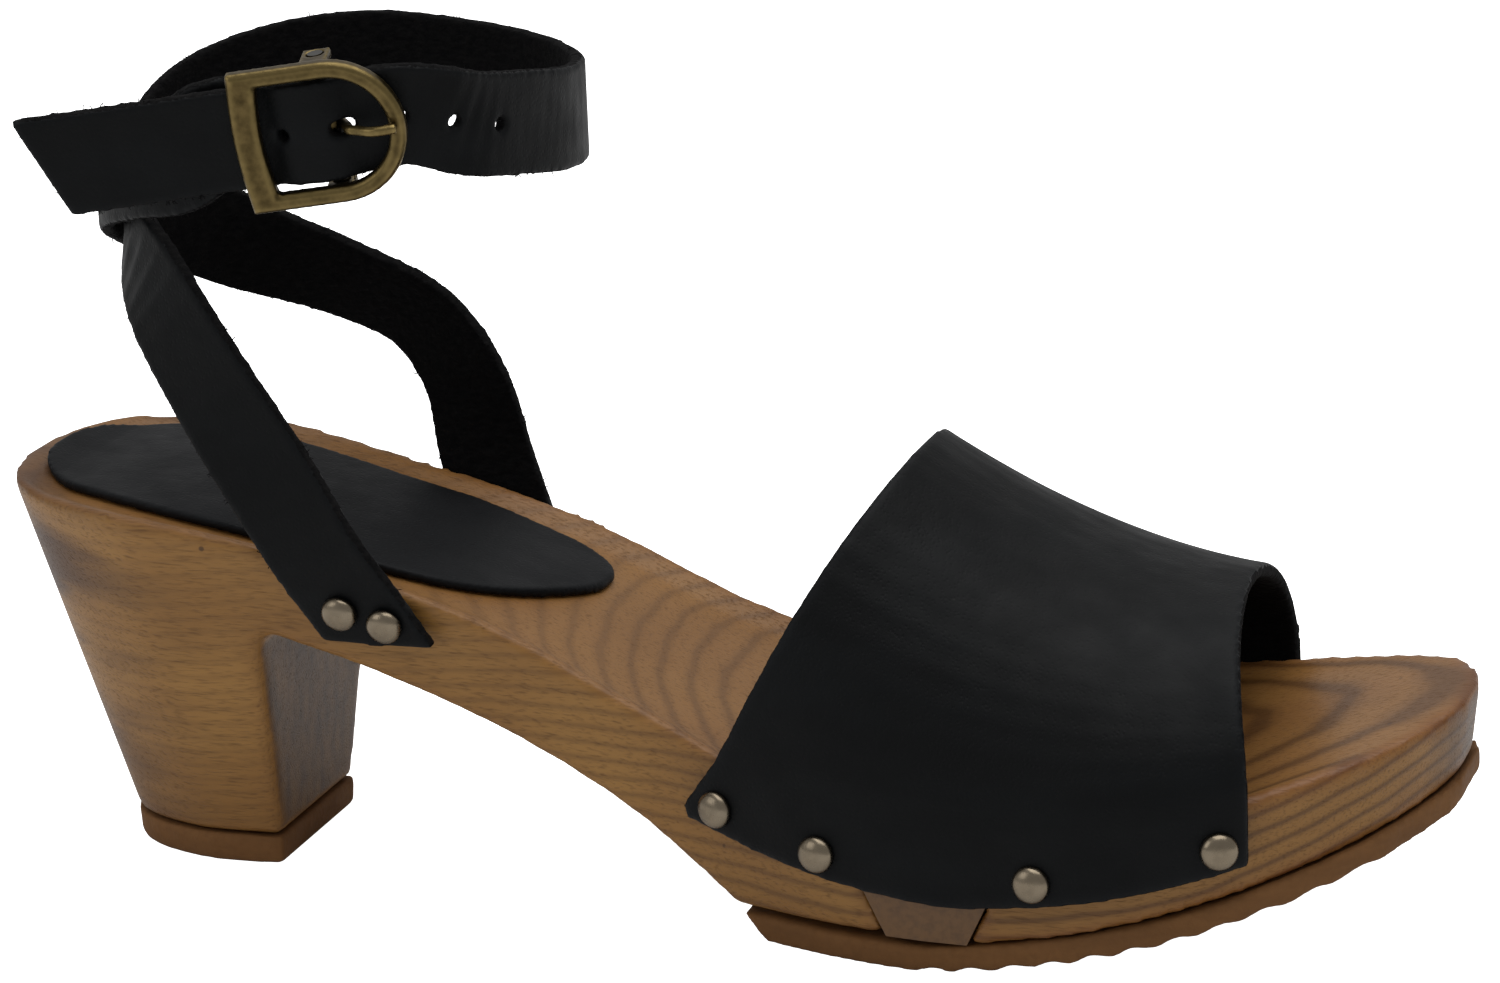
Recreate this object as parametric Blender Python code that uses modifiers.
"""Open-toe wooden clog for the right foot, with a nailed vamp and two straps that cross behind the ankle.

Metres, +Z up, +X towards the toe, -Y towards the outer (lateral) side of the foot. The clog stands on Z = 0
with its origin under the middle of its box. Run with: blender --background --python part.py
"""

import math

import bmesh
import bpy
import numpy as np
from mathutils import Matrix, Vector

# Fits
GAP = 0.0003  # between touching pieces
NAIL_FIT = 0.0002  # round a nail or pin in its hole

# Wooden sole: the outline is drawn from the back of the heel seat, X = 0, to the toe
SOLE_LENGTH = 0.2374
SEAT_WIDTH = 0.0608
BALL_WIDTH = 0.0836
SEAT_HEIGHT = 0.0630
BALL_HEIGHT = 0.0239
TOE_HEIGHT = 0.0363
TREAD_TOE_RISE = 0.0205  # of the tread under the toe
TREAD_CURVE = 1.45  # how late it rises
SIDE_TAPER = 0.0012  # how far the forefoot's side leans in
BALL_TAPER = 0.0040  # the same at the back of the tread
BALL_TAPER_LENGTH = 0.0400  # over which one turns into the other
FOREFOOT_DRAW = 0.9856  # of places along the wood's foot, so that the toe leans forward
DISH_DEPTH = 0.0023
DISH_RIM = 0.0025
DISH_SLOPE = 0.0030
DISH_BACK = 0.0040  # where the dish starts, from the back
DISH_BACK_FADE = 0.0080  # over which it reaches its depth
DISH_TOE_FADE = 0.0450  # over which it runs out towards the toe
DISH_TOE_END = 0.0060  # where it ends, from the toe
ARCH_TOP = 0.0426  # height of the arch at the heel's breast
ARCH_LINE = ((0.0685, 0.0369), (0.0883, 0.0294), (0.1050, 0.0217), (0.1155, 0.0155),
             (0.1222, 0.0106))
BALL_START = 0.1305  # where the tread begins, from the back of the heel seat
FLAT_LENGTH = 0.0300  # of the tread on the ground

# Heel
HEEL_BACK = 0.0170  # of the heel's foot, ahead of the seat's back
HEEL_FOOT_LENGTH = 0.0309
HEEL_FOOT_WIDTH = 0.0313
HEEL_FOOT_OUT = 0.0012  # of its middle, towards the outer side
HEEL_BLEND = 0.0200  # length over which the heel's draw turns into the forefoot's
WAIST_BLEND = 0.30  # share of the sole's length over which the heel's taper fades
BREAST_LEAN = 0.0023
TIP_THICKNESS = 0.0050
TIP_OVERHANG = 0.0006
TIP_CHAMFER = 0.0008  # of its lower edge

# Rubber tread
TREAD_THICKNESS = 0.0042
TREAD_REAR_SLOPE = 0.0030  # length of its sloping rear end
TREAD_REAR_DEPTH = 0.9  # share of its thickness that the slope takes
TREAD_END = (0.0020, 0.0008)  # its last places, from the toe
RIB_PITCH = 0.0062
RIB_DEPTH = 0.0006
LAST_RIB = 0.0030  # from the toe

# Dovetail key across the sole
KEY_MIDDLE = 0.1622
KEY_WIDTH = 0.0128
KEY_FLARE = 0.0040  # on each side
KEY_HEIGHT = 0.0085
KEY_BELOW = 0.0040  # how far the slot's cutter reaches under the wood
CUTTER_REACH = 0.0600  # of a cutter across the sole, from its middle

# Heel pad: its outline starts at its back and runs round the outside
PAD_OUTLINE = ((0.0050, 0.0010), (0.0072, -0.0092), (0.0125, -0.0148), (0.0218, -0.0196), (0.0346, -0.0230),
               (0.0476, -0.0231), (0.0600, -0.0220), (0.0711, -0.0202), (0.0782, -0.0179), (0.0860, -0.0124),
               (0.0927, -0.0028), (0.0958, 0.0045), (0.0965, 0.0096), (0.0950, 0.0142), (0.0905, 0.0168),
               (0.0820, 0.0180), (0.0706, 0.0192), (0.0601, 0.0188), (0.0486, 0.0200), (0.0371, 0.0215),
               (0.0250, 0.0218), (0.0154, 0.0205), (0.0094, 0.0163), (0.0060, 0.0086))
PAD_THICKNESS = 0.0015

# Vamp
VAMP_THICKNESS = 0.0024
VAMP_REAR_FOOT = 0.1225  # its rear lower corner, from the back of the heel seat
VAMP_CORNER_CUT = 0.0015  # of its rear lower corner
VAMP_REAR_RIM = 0.1290
VAMP_REAR_CROWN = 0.1518
VAMP_FRONT_CROWN = 0.2032
VAMP_FRONT_LATERAL = 0.0074  # ahead of the crown
VAMP_FRONT_MEDIAL = 0.0012  # behind the crown
VAMP_REAR_RISE = 0.0467  # of the crown over the ball
VAMP_FRONT_RISE = 0.0258
VAMP_SAG = 0.0041
VAMP_HEM = 0.0122  # lowest point of its lower edge
VAMP_HEM_MIDDLE = 0.1673
VAMP_HEM_CURVE = 1.08  # rise of the edge a metre away from there
VAMP_HEM_POWER = 1.55

# Nails
NAIL_HEAD_RADIUS = 0.0029
NAIL_HEAD_HEIGHT = 0.0018
NAIL_SHANK_RADIUS = 0.0008
NAIL_LENGTH = 0.0085
NAIL_POINT = 0.0020
PIN_RADIUS = 0.0010
PIN_LENGTH = 0.0120
PIN_HEAD = 0.0007
PIN_DEPTH = 0.35  # share of the heel tip's thickness under a pin's head
PIN_PLACES = ((-0.006, 0.0), (0.007, -0.008), (0.007, 0.008))  # from the middle of the heel's foot
VAMP_NAILS = (0.082, 0.275, 0.654, 0.953)  # shares of the lower edge, from its rear corner
VAMP_NAIL_RISE = 0.0041  # over the lower edge
STRAP_FOOT = 0.0680  # where the straps leave the sole
STRAP_NAILS = ((-0.0009, -0.0051), (0.0064, -0.0046))  # ahead of the strap's foot, height from the rim
SHANK_SEGMENTS = 14

# Straps and the ankle loop that they make
LATERAL_FOOT = ((0.0045, -0.0105), (0.0010, -0.0045), (-0.0030, 0.0020))  # ahead, height from the rim
MEDIAL_FOOT = ((0.0045, -0.0105), (0.0020, -0.0045), (-0.0005, 0.0020))
STRAP_WIDTH = 0.0160
STRAP_THICKNESS = 0.0024
FOLD_THICKNESS = 0.0011  # where the buckle strap is skived to fold
STRAP_APART = 0.0007  # between the straps where they cross
LOOP_MIDDLE = 0.0598
LOOP_LENGTH = 0.0746
LOOP_WIDTH = 0.0646
LOOP_HEIGHT = 0.0600  # of the loop's middle over the heel seat
HOLE_RADIUS = 0.0011
HOLE_PITCH = 0.0089
HOLES_AHEAD = 3
HOLES_BEHIND = 1
FREE_END_LENGTH = 0.0440
FREE_END_SLANT = 0.0030  # of its cut end, from the middle to each edge
FOOT_SLANT = 0.0045  # the same, of the straps' ends on the wood

# Buckle: U runs along the strap towards its front, V across it
BUCKLE_AHEAD = 0.0109  # of the bar's middle over the loop's middle
BUCKLE_OUT = 0.0017  # of the bar's middle outside the loop
BUCKLE_RISE = 0.0036  # over the loop's middle height
BUCKLE_TURN = 13.0
BUCKLE_SLOPE = 7.0
BUCKLE_LEAN = 9.0
FRAME_SECTION = 0.0026
STRAP_EASE = 0.0006  # between the strap's edge and the frame
FRAME_WIDTH = STRAP_WIDTH + 2 * (FRAME_SECTION + STRAP_EASE)
FRAME_STRAIGHT = 0.0012  # of its sides, ahead of the bar
FRAME_KEEPER_END = 0.0130
KEEPER_SECTION = 0.0042
KEEPER_BULGE = 0.0008
FRAME_THICKNESS = 0.0024
FRAME_EDGE = 0.0006  # chamfer of its outer face
FRAME_LIFT = STRAP_THICKNESS + 0.0027  # of its middle over the bar's axis
EAR_LENGTH = 0.0042
EAR_WIDTH = 0.0015
EAR_WALL = 0.0008  # round the bar's bore
BAR_RADIUS = 0.0012
BAR_FIT = 0.00015
PRONG_RADIUS = 0.0009
PRONG_ROOT = 0.0034  # where the prong comes up through the strap
PRONG_HOLE_STRETCH = 0.0016
FOLD_LENGTH = 0.0140
FOLD_RETURN = 0.0012  # depth of the returned end's middle under the bar's axis
RIVET_FROM_END = 0.0045
FOLD_SLOT_LENGTH = 0.0095
FOLD_SLOT_HEIGHT = 0.0120
RIVET_RADIUS = 0.0009
RIVET_HEAD_RADIUS = 0.0022
RIVET_HEAD_HEIGHT = 0.0006

LATERAL, MEDIAL = -1, 1


def mix(a, b, share):
    return a + (b - a) * share


def smooth(share):
    """0 to 1 with a level start and end."""
    share = min(max(share, 0.0), 1.0)
    return share * share * (3 - 2 * share)


def curve_through(points, steps, closed=False):
    """Points along a smooth curve through the given ones, with the same steps to a long or a short span."""
    points = np.asarray(points, float)
    if closed:
        points = np.vstack([points[-2:], points, points[:3]])
    spans = np.linalg.norm(np.diff(points[:, :3], axis=0), axis=1)[:, None]
    slopes = np.diff(points, axis=0) / spans
    middle = (slopes[:-1] * spans[1:] + slopes[1:] * spans[:-1]) / (spans[1:] + spans[:-1])
    slopes = np.vstack([slopes[:1], middle, slopes[-1:]])
    first, last = (2, len(points) - 3) if closed else (0, len(points) - 1)
    out = []
    for i in range(first, last):
        for t in np.linspace(0, 1, steps, endpoint=False):
            start, end = points[i], points[i + 1]
            leave, arrive = slopes[i] * spans[i], slopes[i + 1] * spans[i]
            out.append((2 * t**3 - 3 * t**2 + 1) * start + (t**3 - 2 * t**2 + t) * leave
                       + (3 * t**2 - 2 * t**3) * end + (t**3 - t**2) * arrive)
    if not closed:
        out.append(points[-1])
    return np.array(out)


# The sole's lines --------------------------------------------------------------------------------------


def outline():
    """Half breadths of the footbed at places along it: (places, lateral, places, medial)."""
    seat, ball = SEAT_WIDTH / 2, BALL_WIDTH / 2
    lateral = [(0.027, 0.64 * seat), (0.105, 1.02 * seat), (0.24, 1.01 * seat), (0.37, 0.96 * seat),
               (0.49, 1.04 * seat), (0.62, 0.96 * ball), (0.726, ball), (0.83, 0.985 * ball),
               (0.914, 0.78 * ball), (0.9765, 0.40 * ball)]
    medial = [(0.98, 0.52 * ball), (0.895, 0.815 * ball), (0.79, 0.975 * ball), (0.683, 0.96 * ball),
              (0.58, 0.785 * ball), (0.475, 0.905 * seat), (0.37, 0.92 * seat), (0.24, 0.89 * seat),
              (0.113, 0.95 * seat), (0.022, 0.67 * seat)]
    loop = [(0.0, 0.0)] + [(x * SOLE_LENGTH, -y) for x, y in lateral]
    loop += [(SOLE_LENGTH, 0.05 * ball)] + [(x * SOLE_LENGTH, y) for x, y in medial]
    return halves(loop)


def halves(loop):
    """A closed outline from its back, round the outside, as (places, lateral, places, medial) distances."""
    line = curve_through(loop, 24, closed=True)
    front = int(np.argmax(line[:, 0]))
    outer, inner = line[: front + 1], line[front:][::-1]
    return outer[:, 0], -outer[:, 1], inner[:, 0], inner[:, 1]


OUTLINE = outline()


def half_breadth(x, side):
    places, breadths = OUTLINE[:2] if side == LATERAL else OUTLINE[2:]
    return float(np.interp(x, places, np.maximum(breadths, 0.0)))


def rim_line():
    """(place, height) of the rim along the sole, as shares of the sizes."""
    back = [(-0.02, 1.0), (0.06, 0.995), (0.12, 0.975), (0.24, 0.840), (0.37, 0.605), (0.494, 0.272),
            (0.62, 0.02)]
    front = [(0.726, 0.0), (0.83, 0.27), (0.915, 0.63), (1.02, 1.1)]
    line = [(x * SOLE_LENGTH, mix(BALL_HEIGHT, SEAT_HEIGHT, share)) for x, share in back]
    line += [(x * SOLE_LENGTH, mix(BALL_HEIGHT, TOE_HEIGHT, share)) for x, share in front]
    return curve_through(line, 16)


RIM = rim_line()


def rim_height(x):
    return float(np.interp(x, RIM[:, 0], RIM[:, 1]))


def tread_height(x):
    """Height of the rubber tread's underside: flat on the ground, then rising to the toe."""
    flat_end = BALL_START + FLAT_LENGTH
    rise = max(x - flat_end, 0.0) / (SOLE_LENGTH - flat_end)
    return TREAD_TOE_RISE * rise**TREAD_CURVE


def sole_bottom(x):
    return tread_height(x) + TREAD_THICKNESS + GAP


def waist_line():
    """Underside of the arch, from the top of the heel's breast to the start of the tread."""
    start = (HEEL_BACK + HEEL_FOOT_LENGTH + BREAST_LEAN, ARCH_TOP)
    end = (BALL_START, sole_bottom(BALL_START))
    return curve_through([start, *ARCH_LINE, end], 3)


def foot_point(x, side):
    """Where the line down the sole's side from the rim at x meets the level of the heel's foot."""
    breast = HEEL_BACK + HEEL_FOOT_LENGTH
    blend = smooth((x - breast) / (WAIST_BLEND * SOLE_LENGTH))
    heel_x = HEEL_BACK + x * HEEL_FOOT_LENGTH / breast
    foot_x = mix(heel_x, x * FOREFOOT_DRAW, smooth((x - breast) / HEEL_BLEND))
    full = half_breadth(x, side)
    heel_y = full * HEEL_FOOT_WIDTH / SEAT_WIDTH - side * HEEL_FOOT_OUT
    taper = mix(BALL_TAPER, SIDE_TAPER, smooth((x - BALL_START) / BALL_TAPER_LENGTH))
    return foot_x, mix(heel_y, max(full - taper, 0.3 * full), blend)


def side_breadth(x, z, side):
    """Half breadth of the wood at x and height z."""
    down = (rim_height(x) - z) / (rim_height(x) - TIP_THICKNESS)
    return mix(half_breadth(x, side), foot_point(x, side)[1], down)


def sole_places():
    """Places along the sole, close together at its round ends."""
    turns = np.linspace(0, math.pi, 49)[1:-1]
    return SOLE_LENGTH * (1 - np.cos(turns)) / 2


def floor_breadth(x, side):
    """Half breadth of the dished floor inside the rim."""
    full = half_breadth(x, side)
    return max(full - DISH_RIM - DISH_SLOPE, 0.3 * full)


def dish_depth(x):
    back = smooth((x - DISH_BACK) / DISH_BACK_FADE)
    toe = smooth((SOLE_LENGTH - DISH_TOE_END - x) / DISH_TOE_FADE)
    return DISH_DEPTH * back * toe


# Making objects ----------------------------------------------------------------------------------------


def clear_scene():
    for obj in list(bpy.data.objects):
        bpy.data.objects.remove(obj, do_unlink=True)
    for collection in list(bpy.data.collections):
        bpy.data.collections.remove(collection)


def collection_named(name):
    collection = bpy.data.collections.new(name)
    bpy.context.scene.collection.children.link(collection)
    return collection


def finish(name, color, roughness, metallic=0.0):
    """A Principled material, made once. The colour is sRGB."""
    material = bpy.data.materials.get(name)
    if material:
        return material
    material = bpy.data.materials.new(name)
    material.use_nodes = True
    shader = material.node_tree.nodes["Principled BSDF"]
    linear = [c / 12.92 if c <= 0.04045 else ((c + 0.055) / 1.055) ** 2.4 for c in color]
    shader.inputs["Base Color"].default_value = (*linear, 1)
    shader.inputs["Roughness"].default_value = roughness
    shader.inputs["Metallic"].default_value = metallic
    material.diffuse_color = (*linear, 1)
    return material


def wood():
    return finish("oiled_wood", (0.60, 0.43, 0.25), 0.45)


def leather():
    return finish("black_leather", (0.09, 0.09, 0.10), 0.5)


def rubber():
    return finish("tan_rubber", (0.45, 0.31, 0.20), 0.8)


def brass():
    return finish("antique_brass", (0.42, 0.37, 0.24), 0.35, 1.0)


def steel():
    return finish("nail_steel", (0.55, 0.55, 0.55), 0.4, 1.0)


def add_object(name, bm, collection, material=None):
    bmesh.ops.remove_doubles(bm, verts=bm.verts, dist=1e-7)
    bmesh.ops.recalc_face_normals(bm, faces=bm.faces)
    mesh = bpy.data.meshes.new(name)
    bm.to_mesh(mesh)
    bm.free()
    mesh.shade_smooth()
    mesh.set_sharp_from_angle(angle=math.radians(35))
    obj = bpy.data.objects.new(name, mesh)
    collection.objects.link(obj)
    if material:
        mesh.materials.append(material)
    return obj


def add_cutter(name, bm, cutters):
    obj = add_object(name, bm, cutters)
    obj.hide_render = True
    obj.display_type = "WIRE"
    return obj


def boolean(obj, cutter, operation="DIFFERENCE"):
    modifier = obj.modifiers.new(operation.lower() + "_" + cutter.name, "BOOLEAN")
    modifier.object = cutter
    modifier.operation = operation
    return modifier


def loft(sections, closed=False):
    """A solid through sections that each hold the same number of points, in order round."""
    bm = bmesh.new()
    rings = [[bm.verts.new(point) for point in section] for section in sections]
    pairs = list(zip(rings, rings[1:]))
    if closed:
        pairs.append((rings[-1], rings[0]))
    for a, b in pairs:
        for i in range(len(a)):
            j = (i + 1) % len(a)
            bm.faces.new((a[i], a[j], b[j], b[i]))
    if not closed:
        bm.faces.new(rings[0])
        bm.faces.new(rings[-1][::-1])
    return bm


def prism(points, reach):
    """An upright solid along Y, from -reach to reach, extruded from points in XZ."""
    bm = bmesh.new()
    face = bm.faces.new([bm.verts.new((x, -reach, z)) for x, z in points])
    grown = bmesh.ops.extrude_face_region(bm, geom=[face], use_keep_orig=True)["geom"]
    verts = [part for part in grown if isinstance(part, bmesh.types.BMVert)]
    bmesh.ops.translate(bm, verts=verts, vec=(0, 2 * reach, 0))
    return bm


def profile_mesh(name, profile, material):
    """A mesh of edges through (radius, height) points, which run from top to bottom."""
    mesh = bpy.data.meshes.new(name)
    points = [(radius, 0, height) for radius, height in profile]
    mesh.from_pydata(points, list(zip(range(len(points)), range(1, len(points)))), [])
    mesh.materials.append(material)
    return mesh


def turned(name, mesh, place, collection, steps=16):
    """An object turned about its Z from a profile mesh that starts and ends on the axis."""
    obj = bpy.data.objects.new(name, mesh)
    obj.matrix_world = place
    collection.objects.link(obj)
    screw = obj.modifiers.new("turn", "SCREW")
    screw.steps = steps
    screw.render_steps = steps
    screw.use_merge_vertices = True
    screw.merge_threshold = 0.00001
    return obj


def cylinders(radius, low, high, places, segments=16):
    """A cylinder along Z between two heights, once for each matrix."""
    bm = bmesh.new()
    for place in places:
        matrix = place @ Matrix.Translation((0, 0, (low + high) / 2))
        bmesh.ops.create_cone(bm, cap_ends=True, segments=segments, radius1=radius, radius2=radius,
                              depth=high - low, matrix=matrix)
    return bm


def tube(points, radius):
    """A round bar along a route, from a bevelled curve with filled ends."""
    curve = bpy.data.curves.new("route", "CURVE")
    curve.dimensions = "3D"
    curve.bevel_depth = radius
    curve.bevel_resolution = 1
    curve.use_fill_caps = True
    spline = curve.splines.new("POLY")
    spline.points.add(len(points) - 1)
    for point, place in zip(spline.points, points):
        point.co = (*place, 1)
    guide = bpy.data.objects.new("route", curve)
    bpy.context.scene.collection.objects.link(guide)
    graph = bpy.context.evaluated_depsgraph_get()
    mesh = bpy.data.meshes.new_from_object(guide.evaluated_get(graph))
    bpy.data.objects.remove(guide)
    bm = bmesh.new()
    bm.from_mesh(mesh)
    bpy.data.meshes.remove(mesh)
    return bm


def along(direction, place):
    """The matrix that turns +Z to a direction and moves the origin to a place."""
    turn = Vector(direction).to_track_quat("Z", "Y").to_matrix().to_4x4()
    return Matrix.Translation(Vector(place)) @ turn


# Wooden sole, heel tip, tread, key and pad -------------------------------------------------------------


def sole_section(x):
    """One closed section of the sole's block: down to the heel's foot, the rim and the dished floor."""
    section = []
    for side in (LATERAL, MEDIAL):
        full = half_breadth(x, side)
        top = rim_height(x)
        foot_x, foot_y = foot_point(x, side)
        rim = max(full - DISH_RIM, 0.6 * full)
        floor = floor_breadth(x, side)
        half = [(foot_x, side * foot_y, TIP_THICKNESS + GAP), (x, side * full, top), (x, side * rim, top),
                (x, side * floor, top - dish_depth(x))]
        section += half if side == LATERAL else half[::-1]
    return section


def under_profile():
    """What is cut away under the arch and the forefoot, in XZ."""
    breast = HEEL_BACK + HEEL_FOOT_LENGTH
    line = [(breast, -0.01), (breast, TIP_THICKNESS)] + [tuple(point) for point in waist_line()]
    line += [(x, sole_bottom(x)) for x in np.linspace(BALL_START, SOLE_LENGTH + 0.01, 24)[1:]]
    return line + [(SOLE_LENGTH + 0.01, -0.01)]


def key_profile(ease):
    low = sole_bottom(KEY_MIDDLE)
    half = KEY_WIDTH / 2 - ease
    top = low + KEY_HEIGHT - ease
    left = [(-half, low - KEY_BELOW), (-half, low), (-half - KEY_FLARE, top)]
    return [(KEY_MIDDLE + x, z) for x, z in left] + [(KEY_MIDDLE - x, z) for x, z in reversed(left)]


def make_sole(parts, cutters):
    under = add_cutter("under_cutter", prism(under_profile(), CUTTER_REACH), cutters)
    slot = add_cutter("key_slot_cutter", prism(key_profile(0.0), CUTTER_REACH), cutters)
    sections = [sole_section(x) for x in sole_places()]
    sole = add_object("sole_body", loft(sections), parts, wood())
    boolean(sole, under)
    boolean(sole, slot)
    key = add_object("sole_key", prism(key_profile(GAP), CUTTER_REACH * 0.9), parts, wood())
    block = add_cutter("key_ends_cutter", loft(sections), cutters)
    boolean(key, block, "INTERSECT")
    boolean(key, under)
    return sole


def heel_tip_outline(spread):
    """Points round the heel's foot, spread outwards."""
    breast = HEEL_BACK + HEEL_FOOT_LENGTH
    places = breast * (1 - np.cos(np.linspace(0, math.pi / 2, 13)[1:]))
    outer = [foot_point(x, LATERAL) for x in places]
    inner = [foot_point(x, MEDIAL) for x in places[::-1]]
    line = [(x, -y) for x, y in outer] + inner
    middle = HEEL_BACK + HEEL_FOOT_LENGTH / 2
    grow_x, grow_y = 1 + 2 * spread / HEEL_FOOT_LENGTH, 1 + 2 * spread / HEEL_FOOT_WIDTH
    return [(middle + (x - middle) * grow_x, y * grow_y) for x, y in line]


def make_heel_tip(parts, cutters):
    levels = ((0.0, -TIP_CHAMFER), (TIP_CHAMFER, 0.0), (TIP_THICKNESS, TIP_OVERHANG / 2))
    rings = [[(x, y, z) for x, y in heel_tip_outline(spread)] for z, spread in levels]
    tip = add_object("heel_tip", loft(rings), parts, rubber())
    middle = HEEL_BACK + HEEL_FOOT_LENGTH / 2
    places = [Matrix.Translation((middle + x, y, TIP_THICKNESS * PIN_DEPTH)) for x, y in PIN_PLACES]
    profile = [(0, PIN_LENGTH + PIN_RADIUS), (PIN_RADIUS, PIN_LENGTH), (PIN_RADIUS, PIN_HEAD),
               (2 * PIN_RADIUS, PIN_HEAD), (2 * PIN_RADIUS, 0), (0, 0)]
    mesh = profile_mesh("heel_tip_pin", profile, steel())
    for number, place in enumerate(places, 1):
        turned(f"heel_tip_pin_{number}", mesh, place, parts)
    heads = cylinders(2 * PIN_RADIUS + NAIL_FIT, -TIP_THICKNESS, PIN_HEAD + NAIL_FIT, places)
    boolean(tip, add_cutter("pin_head_cutter", heads, cutters))
    bores = cylinders(PIN_RADIUS + NAIL_FIT, 0, PIN_LENGTH + 3 * PIN_RADIUS, places)
    shanks = add_cutter("pin_cutter", bores, cutters)
    boolean(tip, shanks)
    return shanks


def tread_places():
    places = list(np.linspace(BALL_START, BALL_START + FLAT_LENGTH, 9))
    ribs = int((SOLE_LENGTH - LAST_RIB - places[-1]) / RIB_PITCH)
    for rib in range(ribs):
        places += [BALL_START + FLAT_LENGTH + (rib + share) * RIB_PITCH for share in (0.3, 0.5, 0.8, 1.0)]
    last = places[-1]
    return places + [x for x in SOLE_LENGTH - np.array(TREAD_END) if x > last]


def make_tread(parts):
    flat_end = BALL_START + FLAT_LENGTH
    sections = []
    for x in tread_places():
        rib = (max(x - flat_end, 0.0) / RIB_PITCH) % 1.0
        groove = RIB_DEPTH if 0.25 < rib < 0.55 else 0.0
        slope = TREAD_THICKNESS * max(0.0, TREAD_REAR_DEPTH - (x - BALL_START) / TREAD_REAR_SLOPE)
        low = tread_height(x) + groove + slope
        high = tread_height(x) + TREAD_THICKNESS
        widths = [-side_breadth(x, high, LATERAL), side_breadth(x, high, MEDIAL)]
        sections.append([(x, widths[0], low), (x, widths[0], high),
                         (x, widths[1], high), (x, widths[1], low)])
    return add_object("outsole", loft(sections), parts, rubber())


def make_pad(parts):
    """The heel pad lies on the dished floor of the seat."""
    outer_places, outer, inner_places, inner = halves(PAD_OUTLINE)
    back, front = outer_places.min(), outer_places.max()
    sections = []
    for turn in np.linspace(0, math.pi, 37)[1:-1]:
        x = mix(back, front, (1 - math.cos(turn)) / 2)
        left, right = -np.interp(x, outer_places, outer), np.interp(x, inner_places, inner)
        low = rim_height(x) - dish_depth(x) + GAP
        high = low + PAD_THICKNESS
        sections.append([(x, left, low), (x, left, high), (x, right, high), (x, right, low)])
    return add_object("insole_pad", loft(sections), parts, leather())


# Vamp --------------------------------------------------------------------------------------------------


def crown_height(x):
    share = (x - VAMP_REAR_CROWN) / (VAMP_FRONT_CROWN - VAMP_REAR_CROWN)
    rise = mix(VAMP_REAR_RISE, VAMP_FRONT_RISE, share) - 4 * VAMP_SAG * share * (1 - share)
    return BALL_HEIGHT + rise


def hem_height(x):
    return VAMP_HEM + VAMP_HEM_CURVE * abs(x - VAMP_HEM_MIDDLE) ** VAMP_HEM_POWER


def vamp_point(x, turn):
    """A point of the vamp's inner face. A turn of 0 is at the outer rim, pi at the inner rim."""
    outer = half_breadth(x, LATERAL) + GAP
    inner = half_breadth(x, MEDIAL) + GAP
    half = (outer + inner) / 2
    low = rim_height(x)
    y = inner - half - half * math.cos(turn)
    return Vector((x, y, low + (crown_height(x) - low) * math.sin(turn)))


def vamp_ends(turn):
    """Places along the sole of the vamp's rear and front edges at this turn."""
    rear = mix(VAMP_REAR_RIM, VAMP_REAR_CROWN, max(math.sin(turn), 0.0) ** 0.9)
    lean = math.cos(turn)
    even = (VAMP_FRONT_LATERAL - VAMP_FRONT_MEDIAL) / 2
    tilt = (VAMP_FRONT_LATERAL + VAMP_FRONT_MEDIAL) / 2
    return rear, VAMP_FRONT_CROWN + tilt * lean + even * lean * lean


def vamp_rows(along_steps=20):
    """Rows of points from the outer lower edge, over the foot, to the inner lower edge."""
    rows = []
    for side, shares in ((LATERAL, (1.0, 0.85, 0.6, 0.3)), (MEDIAL, (0.3, 0.6, 0.85, 1.0))):
        skirt = []
        for share in shares:
            turn = 0.0 if side == LATERAL else math.pi
            rear, front = vamp_ends(turn)
            rear = mix(rear, VAMP_REAR_FOOT + (VAMP_CORNER_CUT if share == 1.0 else 0.0), share)
            row = []
            for step in np.linspace(0, 1, along_steps):
                x = mix(rear, front, step)
                rim = vamp_point(x, turn)
                row.append(Vector((rim.x, rim.y, mix(rim.z, hem_height(x), share))))
            skirt.append(row)
        rows.append(skirt)
    arch = []
    for turn in np.linspace(0, math.pi, 27):
        rear, front = vamp_ends(turn)
        arch.append([vamp_point(mix(rear, front, step), turn) for step in np.linspace(0, 1, along_steps)])
    return rows[0] + arch + rows[1]


def make_vamp(parts, holes):
    bm = bmesh.new()
    grid = [[bm.verts.new(point) for point in row] for row in vamp_rows()]
    for a, b in zip(grid, grid[1:]):
        for i in range(len(a) - 1):
            bm.faces.new((a[i], a[i + 1], b[i + 1], b[i]))
    vamp = add_object("vamp", bm, parts, leather())
    if vamp.data.polygons[len(vamp.data.polygons) // 2].normal.z < 0:
        vamp.data.flip_normals()
    shell = vamp.modifiers.new("thickness", "SOLIDIFY")
    shell.thickness = VAMP_THICKNESS
    shell.offset = 1
    shell.use_even_offset = True
    boolean(vamp, holes)
    return vamp


# Nails -------------------------------------------------------------------------------------------------


def side_direction(x, side):
    """Outward direction of the rim at x, level."""
    slope = (half_breadth(x + 0.002, side) - half_breadth(x - 0.002, side)) / 0.004
    return Vector((-slope, side, 0)).normalized()


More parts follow.
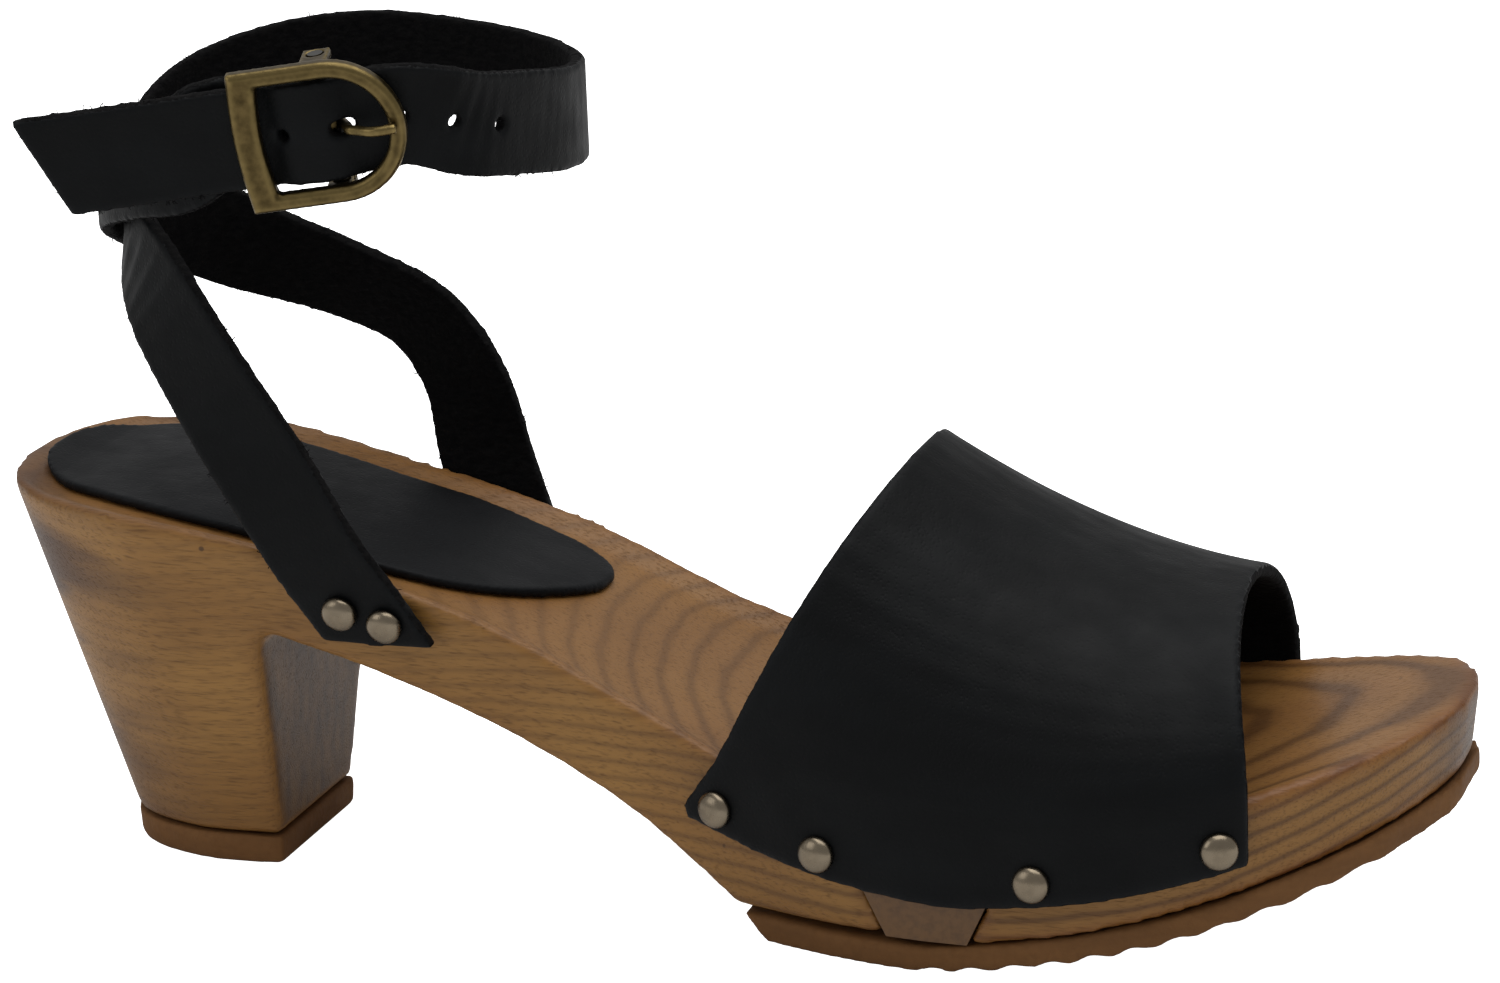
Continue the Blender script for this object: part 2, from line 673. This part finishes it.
def nail_places():
    """(name, place under the head, outward direction, leather thickness) of each upholstery nail."""
    nails = []
    for side, word in ((LATERAL, "lateral"), (MEDIAL, "medial")):
        front = vamp_ends(0.0 if side == LATERAL else math.pi)[1]
        for number, share in enumerate(VAMP_NAILS, 1):
            x = mix(VAMP_REAR_FOOT, front, share)
            out = side_direction(x, side)
            face = Vector((x, side * (half_breadth(x, side) + GAP), hem_height(x) + VAMP_NAIL_RISE))
            nails.append((f"vamp_nail_{word}_{number}", face + out * (VAMP_THICKNESS + GAP), out))
        for number, (ahead, down) in enumerate(STRAP_NAILS, 1):
            x = STRAP_FOOT + ahead
            z = rim_height(x) + down
            out = seat_direction(side)
            face = Vector((x, side * strap_seat(x, z, side), z))
            nails.append((f"strap_nail_{word}_{number}", face + out * (STRAP_THICKNESS / 2 + 2 * GAP), out))
    return nails


def seat_direction(side):
    """Outward direction of the sole's sloping side where the straps are nailed."""
    high, low = rim_height(STRAP_FOOT), rim_height(STRAP_FOOT) - 0.01
    slope = (side_breadth(STRAP_FOOT, high, side) - side_breadth(STRAP_FOOT, low, side)) / 0.01
    return Vector((0, side, -slope)).normalized()


def strap_seat(x, z, side):
    """Distance from the middle plane to the middle of a strap that lies on the wood's side."""
    edges = (x - STRAP_WIDTH * 0.8, x, x + STRAP_WIDTH * 0.6)
    widest = max(side_breadth(place, z, side) for place in edges)
    return widest + (4 * GAP + STRAP_THICKNESS / 2) / abs(seat_direction(side).y)


def nail_profile():
    """Domed head over a straight shank with a point, from top to bottom."""
    turns = np.linspace(math.pi / 2, 0, 5)
    head = [(NAIL_HEAD_RADIUS * math.cos(t), NAIL_HEAD_HEIGHT * math.sin(t)) for t in turns]
    shank = [(NAIL_SHANK_RADIUS, 0), (NAIL_SHANK_RADIUS, NAIL_POINT - NAIL_LENGTH), (0, -NAIL_LENGTH)]
    return [(0, NAIL_HEAD_HEIGHT)] + head[1:] + shank


def make_nails(parts, cutters):
    mesh = profile_mesh("upholstery_nail", nail_profile(), brass())
    places = []
    for name, place, out in nail_places():
        places.append(along(out, place))
        turned(name, mesh, places[-1], parts)
    bores = cylinders(NAIL_SHANK_RADIUS + NAIL_FIT, -NAIL_LENGTH - GAP, 2 * NAIL_HEAD_HEIGHT, places,
                      SHANK_SEGMENTS)
    return add_cutter("nail_cutter", bores, cutters)


# Buckle frame of reference -----------------------------------------------------------------------------


def buckle_axes():
    """(middle of the bar, U along the strap, V across it, N outwards)."""
    turn, slope, lean = (math.radians(a) for a in (BUCKLE_TURN, BUCKLE_SLOPE, BUCKLE_LEAN))
    u = Vector((math.cos(turn) * math.cos(slope), math.sin(turn) * math.cos(slope), math.sin(slope)))
    level_out = Vector((math.sin(turn), -math.cos(turn), 0))
    up = level_out.cross(u)
    v = (up * math.cos(lean) + level_out * math.sin(lean)).normalized()
    n = u.cross(v).normalized()
    middle = Vector((LOOP_MIDDLE + BUCKLE_AHEAD, -LOOP_WIDTH / 2 - BUCKLE_OUT,
                     SEAT_HEIGHT + LOOP_HEIGHT + BUCKLE_RISE))
    return middle, u, v, n


def buckle_matrix():
    middle, u, v, n = buckle_axes()
    matrix = Matrix((u, v, n)).transposed().to_4x4()
    return Matrix.Translation(middle) @ matrix


# Straps ------------------------------------------------------------------------------------------------


def loop_point(angle, height, offset=0.0):
    """A point of the ankle loop: angle 0 at the front, -90 at the outer side, 180 at the back."""
    turn = math.radians(angle)
    half_length, half_width = LOOP_LENGTH / 2 + offset, LOOP_WIDTH / 2 + offset
    z = SEAT_HEIGHT + LOOP_HEIGHT + height
    return Vector((LOOP_MIDDLE + half_length * math.cos(turn), half_width * math.sin(turn), z))


def side_point(x, z, side):
    return Vector((x, side * strap_seat(x, z, side), z))


def outward(point, lean=0.0):
    """Direction away from the ankle loop's middle, square to it. Lean tips the strap's upper edge inwards."""
    level = Vector(((point.x - LOOP_MIDDLE) / LOOP_LENGTH**2, point.y / LOOP_WIDTH**2, 0))
    level.normalize()
    return (level + Vector((0, 0, lean))).normalized()


def buckle_point(u, n):
    middle, along_u, _, out = buckle_axes()
    return middle + along_u * u + out * n


def strap_over_bar():
    """Height of the long strap's middle over the bar's axis."""
    return BAR_RADIUS + BAR_FIT + FOLD_THICKNESS + GAP + STRAP_THICKNESS / 2


def strap_under_frame():
    return FRAME_LIFT - FRAME_THICKNESS / 2 - GAP - STRAP_THICKNESS / 2


def long_strap_stations():
    """(middles, outward directions): up from the outer side, round the ankle, to the free end.

    A place on the loop is (angle, height over its middle, distance outside it, lean).
    """
    rim = rim_height(STRAP_FOOT)
    rise = SEAT_HEIGHT + LOOP_HEIGHT - rim
    points = [side_point(STRAP_FOOT + ahead, rim + up, LATERAL) for ahead, up in LATERAL_FOOT]
    normals = [seat_direction(LATERAL)] * len(points)
    loop = [(-95, -rise + 0.0150, 0.0, 0.08), (-110, -rise + 0.0285, 0.0, 0.20),
            (-128, -0.0275, 0.0, 0.25), (-154, -0.0195, -0.0010, 0.10), (180, -0.0130, -0.0006, 0.0),
            (155, -0.0060, 0.0, 0.0), (130, -0.0020, 0.0, 0.0), (105, -0.0004, 0.0, 0.0),
            (80, -0.0014, 0.0, 0.0), (50, -0.0026, 0.0, 0.0), (22, -0.0030, -0.0006, 0.0),
            (-4, -0.0020, -0.0012, 0.0), (-24, -0.0002, 0.0, 0.0), (-42, 0.0016, 0.0034, 0.0)]
    for angle, height, apart, lean in loop:
        points.append(loop_point(angle, height, apart))
        normals.append(outward(points[-1], lean))
    low, high = strap_under_frame(), strap_over_bar()
    ahead = frame_round_end()
    behind = -FRAME_KEEPER_END + KEEPER_SECTION / 2
    out = buckle_axes()[3]
    for u, n in ((ahead - 0.0006, low - 0.0008), (0.0046, low - 0.0004), (0.0, high - 0.0001),
                 (-0.0028, high), (-0.0060, mix(low, high, 0.6)), (behind + 0.0030, low - 0.0001),
                 (behind, low), (behind - 0.006, low), (-FREE_END_LENGTH * 0.7, low + 0.0004),
                 (-FREE_END_LENGTH, low + 0.0006)):
        points.append(buckle_point(u, n))
        normals.append(out)
    return points, normals


def buckle_strap_stations():
    """(middles, outward directions, thicknesses): from the inner side, round the heel and the bar, and back.

    A place on the loop is (angle, height over its middle, layers outside it, lean).
    """
    rim = rim_height(STRAP_FOOT)
    rise = SEAT_HEIGHT + LOOP_HEIGHT - rim
    points = [side_point(STRAP_FOOT + ahead, rim + up, MEDIAL) for ahead, up in MEDIAL_FOOT]
    normals = [seat_direction(MEDIAL)] * len(points)
    spaced = STRAP_THICKNESS + STRAP_APART
    loop = [(84, -rise + 0.0160, 0.0, 0.30), (94, -rise + 0.0250, 0.0, 0.50), (113, -0.0375, 0.3, 0.60),
            (138, -0.0305, 1.15, 0.35), (163, -0.0215, 1.1, 0.02), (-173, -0.0148, 0.9, 0.0),
            (-150, -0.0098, 0.9, 0.0), (-128, -0.0060, 1.0, 0.0), (-110, -0.0032, 1.0, 0.0)]
    for angle, height, apart, lean in loop:
        points.append(loop_point(angle, height, spaced * apart))
        normals.append(outward(points[-1], lean))
    thicknesses = [STRAP_THICKNESS] * len(points)
    out = buckle_axes()[3]
    along_u = buckle_axes()[1]
    radius = BAR_RADIUS + BAR_FIT + FOLD_THICKNESS / 2
    inner = -radius - FOLD_THICKNESS - GAP
    for u, n in ((-FOLD_LENGTH - 0.004, inner + 0.0004), (-FOLD_LENGTH + 0.003, inner),
                 (-0.0055, inner + 0.0007), (-0.0025, -radius)):
        points.append(buckle_point(u, n))
        normals.append(out)
        thicknesses.append(FOLD_THICKNESS if u > -FOLD_LENGTH else STRAP_THICKNESS)
    for turn in np.radians((-90, -60, -30, 0, 30, 60, 90)):
        points.append(buckle_point(radius * math.cos(turn), radius * math.sin(turn)))
        normals.append(-(along_u * math.cos(turn) + out * math.sin(turn)))
        thicknesses.append(FOLD_THICKNESS)
    for u, n in ((-0.0022, radius), (-0.0055, -0.0010), (-FOLD_LENGTH + 0.003, -FOLD_RETURN),
                 (-FOLD_LENGTH + 0.001, -FOLD_RETURN)):
        points.append(buckle_point(u, n))
        normals.append(-out)
        thicknesses.append(FOLD_THICKNESS)
    return points, normals, thicknesses


def strap_frames(points, normals, thicknesses, steps=4):
    """(middle, ahead, out, across, thickness) at close steps down a strap."""
    line = curve_through([(*p, *n, t) for p, n, t in zip(points, normals, thicknesses)], steps)
    frames = []
    for row, tangent in zip(line, np.gradient(line[:, :3], axis=0)):
        ahead = Vector(tangent).normalized()
        out = Vector(row[3:6])
        out = (out - ahead * out.dot(ahead)).normalized()
        frames.append((Vector(row[:3]), ahead, out, out.cross(ahead).normalized(), row[6]))
    return frames


def ribbon(frames, foot_slant=0.0, end_slant=0.0, slant_frames=4):
    """A strap's solid. A slant cuts an end askew, so that its upper corner leads."""
    sections = []
    last = len(frames) - 1
    for number, (middle, ahead, out, across, thickness) in enumerate(frames):
        half, deep = across * STRAP_WIDTH / 2, out * thickness / 2
        slant = end_slant * max(0.0, 1 - (last - number) / slant_frames)
        slant += foot_slant * max(0.0, 1 - number / slant_frames)
        shift = ahead * slant
        sections.append([middle - half - deep + shift, middle - half + deep + shift,
                         middle + half + deep - shift, middle + half - deep - shift])
    return loft(sections)


def place_along(frames, start, distance):
    """The matrix at a distance down the strap from the place nearest to start, with Z pointing outwards."""
    middles = np.array([frame[0] for frame in frames])
    lengths = np.concatenate([[0], np.cumsum(np.linalg.norm(np.diff(middles, axis=0), axis=1))])
    nearest = int(np.argmin(np.linalg.norm(middles - np.array(start), axis=1)))
    reach = lengths[nearest] + distance
    middle = [np.interp(reach, lengths, middles[:, k]) for k in range(3)]
    return along(frames[int(np.argmin(np.abs(lengths - reach)))][2], middle)


def make_straps(parts, cutters, holes):
    points, normals = long_strap_stations()
    frames = strap_frames(points, normals, [STRAP_THICKNESS] * len(points))
    long_ribbon = ribbon(frames, -FOOT_SLANT, FREE_END_SLANT)
    long_strap = add_object("long_strap", long_ribbon, parts, leather())
    folded = strap_frames(*buckle_strap_stations())
    buckle_strap = add_object("buckle_strap", ribbon(folded, FOOT_SLANT), parts, leather())
    for strap in (long_strap, buckle_strap):
        boolean(strap, holes)
    used = buckle_point(PRONG_ROOT, strap_over_bar())
    numbers = [*range(-HOLES_AHEAD, 0), *range(1, HOLES_BEHIND + 1)]
    punched = cylinders(HOLE_RADIUS, -1.2 * STRAP_THICKNESS, 1.2 * STRAP_THICKNESS,
                        [place_along(frames, used, number * HOLE_PITCH) for number in numbers])
    boolean(long_strap, add_cutter("strap_hole_cutter", punched, cutters))
    place = buckle_matrix()
    for number, share in enumerate((1.0, 0.5, 0.0), 1):
        at = place @ Matrix.Translation((PRONG_ROOT - share * PRONG_HOLE_STRETCH, 0, 0))
        hole = cylinders(PRONG_RADIUS + GAP, BAR_RADIUS, strap_over_bar() + 2 * STRAP_THICKNESS, [at])
        boolean(long_strap, add_cutter(f"prong_hole_cutter_{number}", hole, cutters))
    slot = bmesh.new()
    size = Matrix.Diagonal((FOLD_SLOT_LENGTH, 2 * (PRONG_RADIUS + 2 * GAP), FOLD_SLOT_HEIGHT, 1))
    bmesh.ops.create_cube(slot, size=1, matrix=place @ size)
    boolean(buckle_strap, add_cutter("fold_slot_cutter", slot, cutters))
    return buckle_strap


def make_rivet(parts, cutters, buckle_strap):
    place = buckle_matrix() @ Matrix.Translation((-FOLD_LENGTH + RIVET_FROM_END, 0, 0))
    radius = BAR_RADIUS + BAR_FIT + FOLD_THICKNESS / 2
    low = -radius - 1.5 * FOLD_THICKNESS - 2 * GAP
    high = -FOLD_RETURN + FOLD_THICKNESS / 2 + GAP
    top, bottom = high + RIVET_HEAD_HEIGHT, low - RIVET_HEAD_HEIGHT
    profile = [(0, top), (0.8 * RIVET_HEAD_RADIUS, top), (RIVET_HEAD_RADIUS, high), (RIVET_RADIUS, high),
               (RIVET_RADIUS, low), (RIVET_HEAD_RADIUS, low), (RIVET_HEAD_RADIUS, bottom), (0, bottom)]
    turned("buckle_strap_rivet", profile_mesh("buckle_strap_rivet", profile, brass()), place, parts)
    bore = cylinders(RIVET_RADIUS + NAIL_FIT, 2 * low, high + 2 * STRAP_THICKNESS, [place])
    boolean(buckle_strap, add_cutter("rivet_cutter", bore, cutters))


# Buckle ------------------------------------------------------------------------------------------------


def frame_round_end():
    """Distance of the frame's round end from the bar."""
    return FRAME_STRAIGHT + FRAME_WIDTH / 2


def frame_loop(inset, keeper_inset):
    """Points round the D: straight sides from the keeper end, then a half circle."""
    half = FRAME_WIDTH / 2 - inset
    back = -FRAME_KEEPER_END + keeper_inset
    shares = np.linspace(0, 1, 9)
    keeper = [(back - KEEPER_BULGE * math.sin(math.pi * t), mix(half, -half, t)) for t in shares]
    turns = np.linspace(-math.pi / 2, math.pi / 2, 25)
    return keeper + [(FRAME_STRAIGHT + half * math.cos(a), half * math.sin(a)) for a in turns]


def across(radius, reach, segments=24):
    """A cylinder along V, centred on the hinge's axis."""
    return cylinders(radius, -reach, reach, [Matrix.Rotation(math.pi / 2, 4, "X")], segments)


def make_buckle(parts, cutters):
    """The frame and its bar share the hinge axis, which is V through the bar's middle."""
    low, high = FRAME_LIFT - FRAME_THICKNESS / 2, FRAME_LIFT + FRAME_THICKNESS / 2
    outer, inner = frame_loop(0.0, 0.0), frame_loop(FRAME_SECTION, KEEPER_SECTION)
    outer_top = frame_loop(FRAME_EDGE, FRAME_EDGE)
    inner_top = frame_loop(FRAME_SECTION - FRAME_EDGE, KEEPER_SECTION - FRAME_EDGE)
    levels = ((low, outer), (high - FRAME_EDGE, outer), (high, outer_top), (high, inner_top),
              (high - FRAME_EDGE, inner), (low, inner))
    sections = [[(*loop[i], height) for height, loop in levels] for i in range(len(outer))]
    frame = add_object("buckle_frame", loft(sections, closed=True), parts, brass())
    ear = bmesh.new()
    top, bottom = low + FRAME_EDGE, -BAR_RADIUS - EAR_WALL
    size = Matrix.Diagonal((EAR_LENGTH, EAR_WIDTH, top - bottom, 1))
    for side in (-1, 1):
        v = side * (FRAME_WIDTH / 2 - 0.7 * EAR_WIDTH)
        bmesh.ops.create_cube(ear, size=1, matrix=Matrix.Translation((0, v, (top + bottom) / 2)) @ size)
    ears = add_cutter("ear_union", ear, cutters)
    boolean(frame, ears, "UNION")
    bore = add_cutter("bar_cutter", across(BAR_RADIUS + BAR_FIT, FRAME_WIDTH), cutters)
    boolean(frame, bore)
    bar = add_object("buckle_bar", across(BAR_RADIUS, FRAME_WIDTH / 2 - GAP), parts, steel())
    prong, finger = make_prong(parts, cutters)
    boolean(prong, bore)
    hinge = bpy.data.objects.new("buckle_hinge", None)
    parts.objects.link(hinge)
    hinge.matrix_world = buckle_matrix()
    for obj in (frame, bar, prong, ears, bore, finger):
        obj.parent = hinge


def make_prong(parts, cutters):
    """An eye round the bar, a stem up through the strap and a finger that rests on the frame's round end."""
    rest = FRAME_LIFT + FRAME_THICKNESS / 2 + GAP + PRONG_RADIUS
    over = strap_over_bar() + STRAP_THICKNESS / 2 + PRONG_RADIUS
    route = [(BAR_RADIUS + BAR_FIT, 0.0), (PRONG_ROOT - 0.0008, 0.0022), (PRONG_ROOT - 0.0001, 0.0038),
             (PRONG_ROOT + 0.0004, over - 0.0008), (PRONG_ROOT + 0.0018, over + 0.0001),
             (PRONG_ROOT + 0.0040, max(over - 0.0006, rest)),
             (frame_round_end() - 0.45 * FRAME_SECTION, rest)]
    line = curve_through([(u, 0.0, n) for u, n in route], 4)
    finger = add_cutter("prong_finger_union", tube(line, PRONG_RADIUS), cutters)
    eye = across(BAR_RADIUS + BAR_FIT + PRONG_RADIUS, 1.1 * PRONG_RADIUS)
    prong = add_object("buckle_prong", eye, parts, brass())
    boolean(prong, finger, "UNION")
    return prong, finger


# The whole clog ----------------------------------------------------------------------------------------


def centre_over_origin(parts, root):
    """Moves the clog so that its origin is under the middle of its box."""
    bpy.context.view_layer.update()
    graph = bpy.context.evaluated_depsgraph_get()
    corners = []
    for obj in parts.objects:
        if obj.type == "MESH":
            shape = obj.evaluated_get(graph)
            corners += [shape.matrix_world @ Vector(corner) for corner in shape.bound_box]
    corners = np.array(corners)
    middle = (corners.min(axis=0) + corners.max(axis=0)) / 2
    root.location = (-middle[0], -middle[1], 0)


def main():
    clear_scene()
    parts, cutters = collection_named("wooden_clog"), collection_named("cutters")
    nail_holes = make_nails(parts, cutters)
    sole = make_sole(parts, cutters)
    boolean(sole, nail_holes)
    boolean(sole, make_heel_tip(parts, cutters))
    make_tread(parts)
    make_pad(parts)
    make_vamp(parts, nail_holes)
    buckle_strap = make_straps(parts, cutters, nail_holes)
    make_rivet(parts, cutters, buckle_strap)
    make_buckle(parts, cutters)
    root = bpy.data.objects.new("clog_root", None)
    parts.objects.link(root)
    for obj in [*parts.objects, *cutters.objects]:
        if obj.parent is None and obj is not root:
            obj.parent = root
    centre_over_origin(parts, root)


if __name__ == "__main__":
    main()
